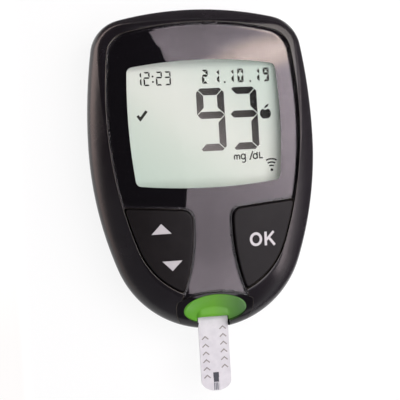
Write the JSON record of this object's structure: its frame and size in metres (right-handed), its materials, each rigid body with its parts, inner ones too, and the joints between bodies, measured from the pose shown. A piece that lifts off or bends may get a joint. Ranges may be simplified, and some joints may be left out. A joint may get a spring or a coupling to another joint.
{
  "type": "blood glucose meter",
  "caption": "Palm-sized egg-shaped glucose meter with a domed lens over its display, a rocker and an OK key, and a lit strip port holding a test strip.",
  "frame": {"origin": "centre of the outline, on the flat of the back that the meter rests on", "axes": "+X to the right of the face, +Y to the top end of the display, +Z out of the face"},
  "size_m": [0.056, 0.094, 0.018],
  "materials": {
    "shell": "satin black moulded plastic with a rounded rim",
    "bezel": "glossy black moulded plastic",
    "lens": "clear hard-coated acrylic, polished",
    "lens_print": "black ink seen through the lens",
    "tape": "black double-sided adhesive tape",
    "keys": "fine-grained black plastic with white printed symbols",
    "spring_steel": "stainless steel",
    "port": "translucent green plastic, lit from behind",
    "strip": "white polyester film",
    "strip_cover": "white polyester cover film with grey print",
    "connector": "black glass-filled nylon",
    "contacts": "gold-plated spring alloy",
    "cell": "nickel-plated steel",
    "display_glass": "thin soda-lime glass",
    "polarizer": "grey-green polarizing film",
    "light_guide": "clear acrylic with a diffusing back",
    "holder": "white reflective plastic",
    "zebra": "layered conductive silicone rubber",
    "led": "white LED package",
    "board": "green solder mask on glass-epoxy",
    "chip": "black moulded epoxy"
  },
  "bodies": {
    "case": {"arrow_domes": "spring_steel", "buzzer": "chip", "cell_clips": "contacts", "cell_springs": "contacts", "clock_crystal": "contacts", "coin_cell_left": "cell", "coin_cell_right": "cell", "display_leds": "led", "face_lens": "lens", "front_housing": "shell", "lcd_front_glass": "display_glass", "lcd_front_polarizer": "polarizer", "lcd_holder": "holder", "lcd_rear_glass": "display_glass", "lcd_rear_polarizer": "polarizer", "lens_print": "lens_print", "lens_tape": "tape", "light_guide": "light_guide", "main_pcb": "board", "microcontroller": "chip", "ok_dome": "spring_steel", "pcb_screws": "spring_steel", "port_bezel": "bezel", "port_leds": "led", "radio_module": "chip", "rear_housing": "shell", "storage_capacitor": "chip", "strip_amplifier": "chip", "strip_connector": "connector", "strip_contacts": "contacts", "strip_port": "port", "zebra_strip": "zebra"},
    "ok_key": {"ok_key": "keys"},
    "arrow_key": {"arrow_key": "keys"},
    "battery_door": {"battery_door": "shell"},
    "test_strip": {"strip_base_film": "strip", "strip_cover_film": "strip_cover"}
  },
  "joints": [
    {"name": "ok_press", "type": "slide", "parent": "case", "child": "ok_key", "axis": [0, 0, -1], "range_m": [0, 0.0004], "stiffness_N_per_m": 2000, "deforming": ["ok_dome"]},
    {"name": "arrow_rock", "type": "hinge", "parent": "case", "child": "arrow_key", "pos_m": [-0.0113, -0.0186, 0.0105], "axis": [0.9659, 0.2588, 0], "range_deg": [-2.2, 2.2], "stiffness_Nm_per_rad": 0.2, "deforming": ["arrow_domes"]},
    {"name": "strip_pull", "type": "slide", "parent": "case", "child": "test_strip", "axis": [0, -1, 0], "range_m": [0, 0.02]},
    {"name": "battery_door_slide", "type": "slide", "parent": "case", "child": "battery_door", "axis": [0, 1, 0], "range_m": [0, 0.036]}
  ]
}
